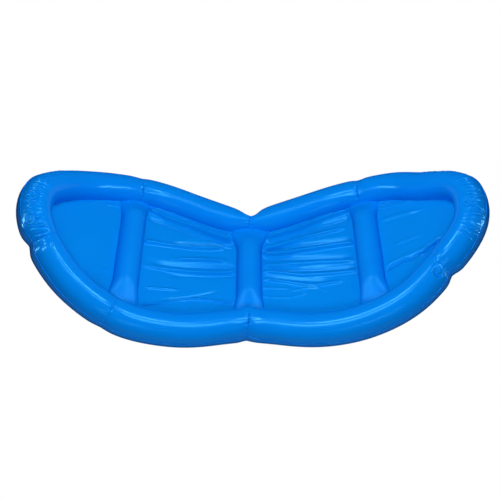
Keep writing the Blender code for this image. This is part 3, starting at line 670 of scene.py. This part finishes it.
RIGHT_FOLDS = (
    (((0.060, 0.190), (0.124, 0.206), (0.184, 0.224), (0.264, 0.247), (0.39, 0.270)), 0.0040, 0.0080, 0.05),
    (((0.060, 0.168), (0.143, 0.192), (0.203, 0.206), (0.275, 0.227), (0.323, 0.236), (0.40, 0.240)),
     0.0080, 0.0110, 0.03),
    (((0.060, 0.142), (0.142, 0.168), (0.202, 0.184), (0.281, 0.200), (0.400, 0.204)), -0.0050, 0.0095, 0.05),
    (((0.055, 0.116), (0.114, 0.125), (0.161, 0.137), (0.220, 0.150), (0.271, 0.156), (0.36, 0.156)),
     0.0052, 0.0090, 0.05),
    (((0.055, 0.104), (0.121, 0.112), (0.200, 0.116), (0.296, 0.108), (0.400, 0.090)), -0.0044, 0.0095, 0.06),
    (((0.060, 0.084), (0.160, 0.081), (0.218, 0.083), (0.275, 0.079), (0.331, 0.075), (0.40, 0.062)),
     0.0072, 0.0100, 0.04),
    (((0.055, 0.062), (0.159, 0.055), (0.272, 0.033), (0.390, 0.002)), -0.0046, 0.0100, 0.07),
    (((0.050, 0.026), (0.158, 0.021), (0.271, 0.007), (0.390, -0.024)), 0.0044, 0.0110, 0.07),
    (((0.070, 0.008), (0.195, -0.011), (0.306, -0.034), (0.400, -0.056)), -0.0044, 0.0090, 0.06),
    (((0.060, -0.003), (0.137, -0.022), (0.193, -0.039), (0.268, -0.053), (0.400, -0.078)),
     0.0040, 0.0090, 0.06),
    (((0.070, -0.030), (0.193, -0.062), (0.300, -0.090)), -0.0030, 0.0080, 0.06),
    (((0.060, -0.044), (0.136, -0.063), (0.192, -0.086), (0.247, -0.103), (0.34, -0.107)),
     0.0034, 0.0080, 0.05),
    (((0.160, -0.112), (0.220, -0.107), (0.257, -0.115), (0.285, -0.140)), 0.0014, 0.0050, 0.03),
    (((0.050, -0.084), (0.140, -0.098)), 0.0014, 0.0060, 0.03),
    (((0.040, -0.128), (0.097, -0.135), (0.152, -0.144), (0.210, -0.134)), 0.0013, 0.0050, 0.03),
)
LEFT_OUTER_FOLDS = (
    (((-0.540, 0.198), (-0.507, 0.207)), 0.0026, 0.0050, 0.02),
    (((-0.650, 0.120), (-0.591, 0.184), (-0.525, 0.243)), 0.0026, 0.0140, 0.05),
    (((-0.582, -0.150), (-0.544, -0.134), (-0.506, -0.119)), 0.0014, 0.0060, 0.04),
    (((-0.580, -0.172), (-0.542, -0.157), (-0.503, -0.142)), -0.0012, 0.0060, 0.04),
    (((-0.577, -0.195), (-0.539, -0.179), (-0.501, -0.164)), 0.0014, 0.0060, 0.04),
    (((-0.572, -0.234), (-0.535, -0.219), (-0.497, -0.205)), 0.0012, 0.0060, 0.04),
)
RIGHT_OUTER_FOLDS = (
    (((0.500, 0.205), (0.544, 0.192), (0.579, 0.181), (0.630, 0.167)), 0.0040, 0.0060, 0.03),
    (((0.500, 0.222), (0.540, 0.208)), 0.0026, 0.0045, 0.02),
    (((0.498, 0.131), (0.555, 0.125), (0.606, 0.114), (0.645, 0.101)), 0.0026, 0.0110, 0.05),
    (((0.540, -0.010), (0.591, -0.013), (0.620, -0.015)), 0.0018, 0.0090, 0.04),
    (((0.491, -0.121), (0.523, -0.113), (0.554, -0.105), (0.587, -0.109), (0.630, -0.102), (0.681, -0.081)),
     -0.0056, 0.0060, 0.04),
    (((0.491, -0.100), (0.554, -0.088), (0.630, -0.086), (0.681, -0.066)), 0.0022, 0.0100, 0.05),
    (((0.610, -0.112), (0.644, -0.117), (0.671, -0.108)), 0.0034, 0.0050, 0.03),
)
FOLD_STRENGTH = 2.3
WELT, WELT_SHARE = 0.0024, 0.030
FAR_SLOPE, NEAR_SLOPE = 1.25, 0.60
PINNED_END, PINNED_SIDE = 0.05, 0.03


def folded(folds):
    """The lift of a sheet at its places, from a list of folds that are steep on their near side."""

    def lift(x, y, share, across):
        total = np.zeros_like(x)
        for points, height, width, ending in folds:
            points = np.array(points)
            ridge = np.interp(x, points[:, 0], points[:, 1])
            first, last = points[0, 0], points[-1, 0]
            kept = eased((x - first) / ending + 0.5) * eased((last - x) / ending + 0.5)
            slope_width = width * np.where(y > ridge, FAR_SLOPE, NEAR_SLOPE)
            total += FOLD_STRENGTH * height * kept * hump((y - ridge) / slope_width, 1.0)
        pinned = (eased(share / PINNED_END) * eased((1 - share) / PINNED_END)
                  * eased((1 - np.abs(across)) / PINNED_SIDE))
        return total * pinned + WELT * eased((np.abs(across) - 1.0 + WELT_SHARE) / WELT_SHARE)

    return lift


INNER_GRID, OUTER_GRID = (120, 300), (110, 240)
for word, side, folds, outer_folds in (("left", -1, LEFT_FOLDS, LEFT_OUTER_FOLDS),
                                       ("right", 1, RIGHT_FOLDS, RIGHT_OUTER_FOLDS)):
    cross_x = side * CROSS_OFFSET
    slope = floor_slope(cross_x)
    tip = min(edge.reach[-1] for edge in EDGES[side]) - TIP_GAP
    inner = floor_sheet(
        f"{word}_inner_sheet", lambda across: cross_side(0.0, 0.0, across, side),
        lambda across: cross_side(cross_x, slope, across, -side), *INNER_GRID, False, folded(folds))
    outer = floor_sheet(
        f"{word}_outer_sheet", lambda across: cross_side(cross_x, slope, across, side),
        lambda across: side * tip + 0 * across, *OUTER_GRID, True, folded(outer_folds))
    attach(outer, f"{word}_lobe")
    if word == "left":
        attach(inner, "left_lobe")
    else:
        bend_at_waist(inner)


# Weld baffles
# Discs of film across the tube at each weld, which part the air chambers. They are welded in
# all round and stand in the narrow gap between two chambers' ends.
BAFFLE_FILM = 0.0002
BAFFLE_INSET = 0.0085
BAFFLE_ROWS = 20
baffle_vinyl = vinyl("baffle_vinyl", (0.0, 0.20, 0.70), (0.0, 0.23, 0.76), 0.34, 0.12)


def baffle(name, line, at):
    """A flat disc of film across the tube at one weld."""

    def place(row_share, turn_share):
        turn = turn_at(turn_share, TUBE_SEGMENTS)
        along = np.full_like(turn, at)
        middle = columns_at(along, line.at, line.middle)
        edge = line.skin(along, turn, waist_swelling(line, along, turn) - BAFFLE_INSET)
        edge[:, 0] += waist_slant(line, along, turn)
        return middle + (edge - middle) * np.rint(row_share * BAFFLE_ROWS)[:, None] / BAFFLE_ROWS

    made = rolled_grid(f"{name}_film", BAFFLE_ROWS, TUBE_SEGMENTS, place)
    give_thickness(made, BAFFLE_FILM)
    made.data.materials.append(baffle_vinyl)
    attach(made, "left_lobe" if line is LEFT else "right_lobe")
    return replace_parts(made, name)


baffle("far_waist_baffle", LEFT, 0.0)
baffle("near_waist_baffle", LEFT, LEFT.length)
LEFT_BAFFLES = ("far_left_baffle", "left_end_baffle", "left_corner_baffle")
RIGHT_BAFFLES = ("far_right_baffle", "right_end_baffle")
for line, chambers, baffles in ((LEFT, LEFT_CHAMBERS, LEFT_BAFFLES), (RIGHT, RIGHT_CHAMBERS, RIGHT_BAFFLES)):
    for (seam, _), name, carriers in zip(line.seams, baffles, zip(chambers, chambers[1:])):
        baffle(name, line, seam)


# Weld rims
# The flat edge all round the outside of each lobe, where the tube's upper and lower films are
# welded together. It is pressed thin and ripples slightly.
RIM_WIDTH = 0.0024
RIM_FILM = 0.0008
RIM_LAP = 0.0010
RIM_STEP = 0.0026
RIM_SIDES, RIM_SQUARENESS = 16, 0.4
RIM_RIPPLE, RIM_WAVES = 0.0003, (173, 67)


def squared(value):
    """A wave from -1 to 1 made steeper, which turns an oval section into a strip's."""
    return np.sign(value) * np.abs(value) ** RIM_SQUARENESS


def weld_rim(name, line, welds):
    """A thin strip all along the outside of one lobe's tube."""
    rows = round(line.length / RIM_STEP)

    def place(row_share, turn_share):
        row = np.rint(row_share * rows)
        along = WELD_GAP / 2 + (line.length - WELD_GAP) * np.clip((row - 1) / (rows - 2), 0.0, 1.0)
        closed = np.clip(np.minimum(row, rows - row), 0.0, 1.0)
        turn = turn_at(turn_share, RIM_SIDES)
        outwards = np.zeros_like(along)
        reach = (RIM_WIDTH + RIM_LAP) / 2 * (1.0 + closed * squared(np.cos(turn))) - RIM_LAP
        lift = (reach + waist_swelling(line, along, outwards)
                + welds_lift(line, weld_places(line), welds, along, outwards))
        waves = sum(np.sin(wave * along) for wave in RIM_WAVES)
        ripple = RIM_RIPPLE * waves * np.maximum(reach, 0.0) / RIM_WIDTH
        spots = line.skin(along, outwards, lift)
        spots[:, 0] += waist_slant(line, along, outwards)
        upward = closed * RIM_FILM / 2 * squared(np.sin(turn)) + ripple
        return spots + columns_at(along, line.at, line.square) * upward[:, None]

    made = rolled_grid(f"{name}_edge", rows, RIM_SIDES, place)
    made.data.materials.append(tube_vinyl)
    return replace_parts(made, name)


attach(weld_rim("left_weld_rim", LEFT, LEFT_WELDS), "left_lobe")
bend_at_waist(weld_rim("right_weld_rim", RIGHT, RIGHT_WELDS))


# Valves
# Four push-in valves moulded in softer vinyl. Each has a flange welded to the tube, a neck
# that pushes in through it, a plug on a short tether, and a check flap hinged under the neck.
FLANGE_THICKNESS = 0.0012
NECK_RADIUS, NECK_LENGTH, BORE_RADIUS, NECK_FIT = 0.0060, 0.0150, 0.0039, 0.0004
LIP_RADIUS, LIP_THICKNESS = 0.0085, 0.0014
CAP_RADIUS, CAP_THICKNESS, PIN_LENGTH = 0.0058, 0.0015, 0.0036
PIN_TOP, PIN_END, PIN_NECK, PIN_NECK_LENGTH = 0.0034, 0.0025, 0.0031, 0.0010
HINGE_RADIUS, HINGE_WIDTH = 0.0007, 0.0050
STRAP_WIDTH, STRAP_THICKNESS, STRAP_ROUNDING = 0.0036, 0.0008, 0.0002
TAB_END, TAB_START, TAB_WIDTH, TAB_ROUNDING = -0.0079, -0.0050, 0.0042, 0.0003
FLAP_RADIUS, FLAP_FILM = 0.0050, 0.0008
FUNNEL_DEPTH = 0.0012
CLEARANCE = 0.0003
VALVE_SEGMENTS, FLANGE_SEGMENTS, BARREL_SEGMENTS = 96, 240, 32
CURVE_POINTS, ROUNDING_SHARE = 5, 0.45
KNURLS, KNURL_HEIGHT, KNURL_RADIUS, KNURL_BAND = 60, 0.00012, 0.0130, 0.0006
# Rings and grooves on the faces, from the edge inwards: radius, height over the face, rounding
FLANGE_RINGS = (
    (0.0158, 0.0005, 0.0004), (0.0148, 0.0005, 0.0003), (0.0142, 0.0, 0.0002), (0.0138, -0.0003, 0.0001),
    (KNURL_RADIUS, -0.0003, 0.0), (0.0122, -0.0003, 0.0001), (0.0118, 0.0, 0.0002), (0.0103, 0.0, 0.0003),
    (0.0098, 0.0005, 0.0003), (0.0091, 0.0005, 0.0003), (0.0088, 0.0, 0.0001),
)
LIP_RINGS = ((0.0066, 0.0, 0.0003), (0.0063, -0.0003, 0.0001), (0.0048, -0.0003, 0.0003))
CAP_RINGS = ((0.0047, 0.0, 0.0003), (0.0042, -0.0004, 0.0002), (0.0014, -0.0004, 0.0003),
             (0.0009, 0.0, 0.0003))
valve_vinyl = vinyl("valve_vinyl", (0.0, 0.215, 0.77), (0.0, 0.245, 0.83), 0.28, 0.05)


def rounded(corners, closed):
    """A profile through (radius, height, rounding) corners, each turned into a short curve."""
    points = []
    for index, (radius, height, rounding) in enumerate(corners):
        corner = np.array((radius, height))
        if rounding == 0.0:
            points.append(corner)
            continue
        ends = []
        for other in (corners[index - 1], corners[(index + 1) % len(corners)]):
            away = np.array(other[:2]) - corner
            far = np.linalg.norm(away)
            ends.append(corner + away / far * min(rounding, ROUNDING_SHARE * far))
        first, last = ends
        for share in np.linspace(0.0, 1.0, CURVE_POINTS):
            points.append(first * (1 - share) ** 2 + 2 * corner * share * (1 - share) + last * share ** 2)
    return np.array(points + points[:1] if closed else points)


def on_face(rings, height):
    """A face's rings and grooves as corners of a profile, for a face at this height."""
    return [(radius, height + rise, rounding) for radius, rise, rounding in rings]


def turned(name, valve, corners, closed, segments=VALVE_SEGMENTS, knurled=False):
    """A profile turned round the valve's own Z, with a knurled ring on its upper side if wanted."""
    profile = rounded(corners, closed)
    rows = len(profile) - 1

    def place(row_share, turn_share):
        radius, height = profile[np.rint(row_share * rows).astype(int)].T
        turn = turn_at(turn_share, segments)
        if knurled:
            upper = height > profile[:, 1].mean()
            knurl = np.cos(KNURLS * turn) * hump(radius - KNURL_RADIUS, KNURL_BAND)
            height = height + KNURL_HEIGHT * knurl * upper
        return valve.set_on(np.column_stack([radius * np.cos(turn), radius * np.sin(turn), height]))

    return rolled_grid(name, rows, segments, place)


def block(name, valve, low, high, bevel):
    """A box in the valve's own axes, with rounded edges."""
    bm = bmesh.new()
    bmesh.ops.create_cube(bm, size=1.0)
    middle, size = (np.array(low) + high) / 2, np.array(high) - low
    for vert in bm.verts:
        vert.co = middle + np.array(vert.co) * size
    bmesh.ops.bevel(bm, geom=bm.edges, offset=bevel, segments=3, profile=0.5, affect="EDGES", material=-1)
    return in_place(name, valve, bm)


def barrel(name, valve, x, z):
    """A hinge barrel along the valve's own Y."""
    bm = bmesh.new()
    bmesh.ops.create_cone(bm, cap_ends=True, segments=BARREL_SEGMENTS,
                          radius1=HINGE_RADIUS, radius2=HINGE_RADIUS, depth=HINGE_WIDTH,
                          matrix=Matrix.Rotation(math.pi / 2, 4, "X"))
    ends = [edge for edge in bm.edges if abs(edge.verts[0].co.y - edge.verts[1].co.y) < HINGE_WIDTH / 2]
    bmesh.ops.bevel(bm, geom=ends, offset=HINGE_RADIUS / 4, segments=2, profile=0.5, affect="EDGES",
                    material=-1)
    bmesh.ops.translate(bm, verts=bm.verts, vec=(x, 0.0, z))
    return in_place(name, valve, bm)


def in_place(name, valve, bm):
    for vert in bm.verts:
        vert.co = valve.set_on(vert.co)
    bmesh.ops.recalc_face_normals(bm, faces=bm.faces)
    return object_from(name, bm)


def joined(name, parts):
    """One piece made of several closed ones."""
    bm = bmesh.new()
    for made in parts:
        bm.from_mesh(made.data)
        bpy.data.objects.remove(made)
    return object_from(name, bm)


def flange(name, valve):
    low = valve.seat + CLEARANCE
    top = low + FLANGE_THICKNESS
    bore = NECK_RADIUS + NECK_FIT
    corners = ((bore, low, 0.0002), (FLANGE_RADIUS, low, 0.0002), (FLANGE_RADIUS, top, 0.0003),
               *on_face(FLANGE_RINGS, top), (bore, top, 0.0002))
    return turned(name, valve, corners, True, FLANGE_SEGMENTS, knurled=True)


def neck(name, valve):
    lip_low = valve.seat + CLEARANCE + FLANGE_THICKNESS + CLEARANCE
    lip_top, end = lip_low + LIP_THICKNESS, lip_low - NECK_LENGTH
    corners = ((BORE_RADIUS, end, 0.0003), (NECK_RADIUS, end, 0.0007), (NECK_RADIUS, lip_low, 0.0001),
               (LIP_RADIUS, lip_low, 0.0003), (LIP_RADIUS, lip_top, 0.0006), *on_face(LIP_RINGS, lip_top),
               (BORE_RADIUS, lip_top - FUNNEL_DEPTH, 0.0004))
    return turned(name, valve, corners, True)


def plug(name, valve):
    lip_top = valve.seat + 2 * CLEARANCE + FLANGE_THICKNESS + LIP_THICKNESS
    low, top = lip_top + CLEARANCE, lip_top + CLEARANCE + CAP_THICKNESS
    corners = ((0.0, low - PIN_LENGTH, 0.0), (PIN_END, low - PIN_LENGTH, 0.0006),
               (PIN_TOP, low - PIN_NECK_LENGTH, 0.0005), (PIN_NECK, low, 0.0002), (CAP_RADIUS, low, 0.0003),
               (CAP_RADIUS, top, 0.0005), *on_face(CAP_RINGS, top), (0.0, top, 0.0))
    hinge_x, hinge_z = LIP_RADIUS - HINGE_RADIUS, low + HINGE_RADIUS
    strap_low = hinge_z - STRAP_THICKNESS / 2
    strap_top = strap_low + STRAP_THICKNESS
    return joined(name, [
        turned("cap", valve, corners, False),
        block("strap", valve, (CAP_RADIUS / 2, -STRAP_WIDTH / 2, strap_low),
              (hinge_x, STRAP_WIDTH / 2, strap_top), STRAP_ROUNDING),
        block("tab", valve, (TAB_END, -TAB_WIDTH / 2, strap_low), (TAB_START, TAB_WIDTH / 2, strap_top),
              TAB_ROUNDING),
        barrel("hinge", valve, hinge_x, hinge_z),
    ])


def check_flap(name, valve):
    end = valve.seat + 2 * CLEARANCE + FLANGE_THICKNESS - NECK_LENGTH
    hinge_z = end - CLEARANCE - HINGE_RADIUS
    low, top = hinge_z - FLAP_FILM / 2, hinge_z + FLAP_FILM / 2
    corners = ((0.0, low, 0.0), (FLAP_RADIUS, low, 0.0003), (FLAP_RADIUS, top, 0.0003), (0.0, top, 0.0))
    return joined(name, [turned("disc", valve, corners, False), barrel("hinge", valve, FLAP_RADIUS, hinge_z)])


for name, valve in VALVE_PLACES.items():
    lobe_body = "left_lobe" if VALVE_SPOTS[name][0] is LEFT else "right_lobe"
    for make, node, body in ((flange, "flange", lobe_body), (neck, "neck", f"{name}_neck"),
                             (plug, "plug", f"{name}_plug"), (check_flap, "check_flap", f"{name}_flap")):
        piece = make(f"{name}_{node}_moulding", valve)
        piece.data.materials.append(valve_vinyl)
        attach(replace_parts(piece, f"{name}_{node}"), body)


# Floor and light
# A plain pale floor that the camera sees as white, and soft lamps above, in front and at both
# sides. Long, narrow lamps at the sides show only as gleams in the vinyl's gloss.
FLOOR_REACH, FLOOR_DROP = 14.0, 0.0005
FLOOR_GREY, FLOOR_IN_GLOSS = 0.16, 0.25
AIM = (0.0, 0.1, 0.1)
GLEAM_COLOUR = (0.62, 0.92, 1.0)
# Each side has a softbox, with its place, aim and power, and gleams, with their size, power
# and place on the right
SOFTBOXES = (("left", -1, (-1.0, -1.1, 2.4), (0.2, 0.1, 0.2), 3.8),
             ("right", 1, (1.5, -1.1, 2.3), (-0.3, 0.1, 0.2), 6.0))
GLEAMS = (("high", (0.20, 1.2), 15, (1.20, -0.62, 2.25)), ("low", (0.10, 1.5), 26, (2.70, -0.25, 1.25)),
          ("tip", (0.10, 0.3), 8, (1.22, 0.36, 2.60)))

floor_grid = bmesh.new()
bmesh.ops.create_grid(floor_grid, x_segments=2, y_segments=2, size=FLOOR_REACH)
floor = object_from("floor", floor_grid)
floor.location.z = -FLOOR_DROP
pale = bpy.data.materials.new("pale_floor")
pale.use_nodes = True
tree = pale.node_tree
shader = tree.nodes["Principled BSDF"]
shader.inputs["Base Color"].default_value = (FLOOR_GREY, FLOOR_GREY, FLOOR_GREY, 1.0)
shader.inputs["Roughness"].default_value = 0.9
shader.inputs["Specular IOR Level"].default_value = 0.0
ray = tree.nodes.new("ShaderNodeLightPath")
white = tree.nodes.new("ShaderNodeEmission")
white.inputs["Strength"].default_value = 1.0
faint = tree.nodes.new("ShaderNodeMath")
faint.operation = "MULTIPLY"
faint.inputs[1].default_value = FLOOR_IN_GLOSS
seen = tree.nodes.new("ShaderNodeMath")
seen.operation = "MAXIMUM"
mix = tree.nodes.new("ShaderNodeMixShader")
tree.links.new(ray.outputs["Is Camera Ray"], seen.inputs[0])
tree.links.new(ray.outputs["Is Glossy Ray"], faint.inputs[0])
tree.links.new(faint.outputs[0], seen.inputs[1])
tree.links.new(seen.outputs[0], mix.inputs[0])
tree.links.new(shader.outputs[0], mix.inputs[1])
tree.links.new(white.outputs[0], mix.inputs[2])
tree.links.new(mix.outputs[0], tree.nodes["Material Output"].inputs["Surface"])
floor.data.materials.append(pale)


def soft_light(name, size, power, place, aim, gleam=False):
    """A flat lamp that lights the film, or a gleam that shows only in its gloss."""
    lamp = bpy.data.lights.new(name, "AREA")
    lamp.shape = "RECTANGLE"
    lamp.size, lamp.size_y = size
    lamp.energy = power
    made = bpy.data.objects.new(name, lamp)
    made.location = place
    made.rotation_euler = (Vector(aim) - Vector(place)).to_track_quat("-Z", "Y").to_euler()
    bpy.context.scene.collection.objects.link(made)
    made.visible_diffuse = not gleam
    made.visible_glossy = gleam
    if gleam:
        lamp.color = GLEAM_COLOUR


soft_light("overhead_softbox", (0.6, 0.6), 17.5, (0.0, 0.2, 1.7), AIM)
soft_light("front_softbox", (0.8, 0.4), 12.5, (0.0, -1.6, 1.05), AIM)
for side, sign, place, aim, power in SOFTBOXES:
    soft_light(f"{side}_softbox", (0.40, 0.30), power, place, aim)
    for level, size, gleam_power, (x, y, z) in GLEAMS:
        soft_light(f"{side}_{level}_gleam", size, gleam_power, (sign * x, y, z), AIM, gleam=True)

world = bpy.data.worlds.new("studio")
bpy.context.scene.world = world
world.use_nodes = True
tree = world.node_tree
air = tree.nodes["Background"]
air.inputs["Color"].default_value = (0.25, 0.85, 1.0, 1.0)
air.inputs["Strength"].default_value = 0.17
ray = tree.nodes.new("ShaderNodeLightPath")
bright = tree.nodes.new("ShaderNodeBackground")
bright.inputs["Color"].default_value = (1.0, 1.0, 1.0, 1.0)
mix = tree.nodes.new("ShaderNodeMixShader")
tree.links.new(ray.outputs["Is Camera Ray"], mix.inputs[0])
tree.links.new(air.outputs[0], mix.inputs[1])
tree.links.new(bright.outputs[0], mix.inputs[2])
tree.links.new(mix.outputs[0], tree.nodes["World Output"].inputs["Surface"])
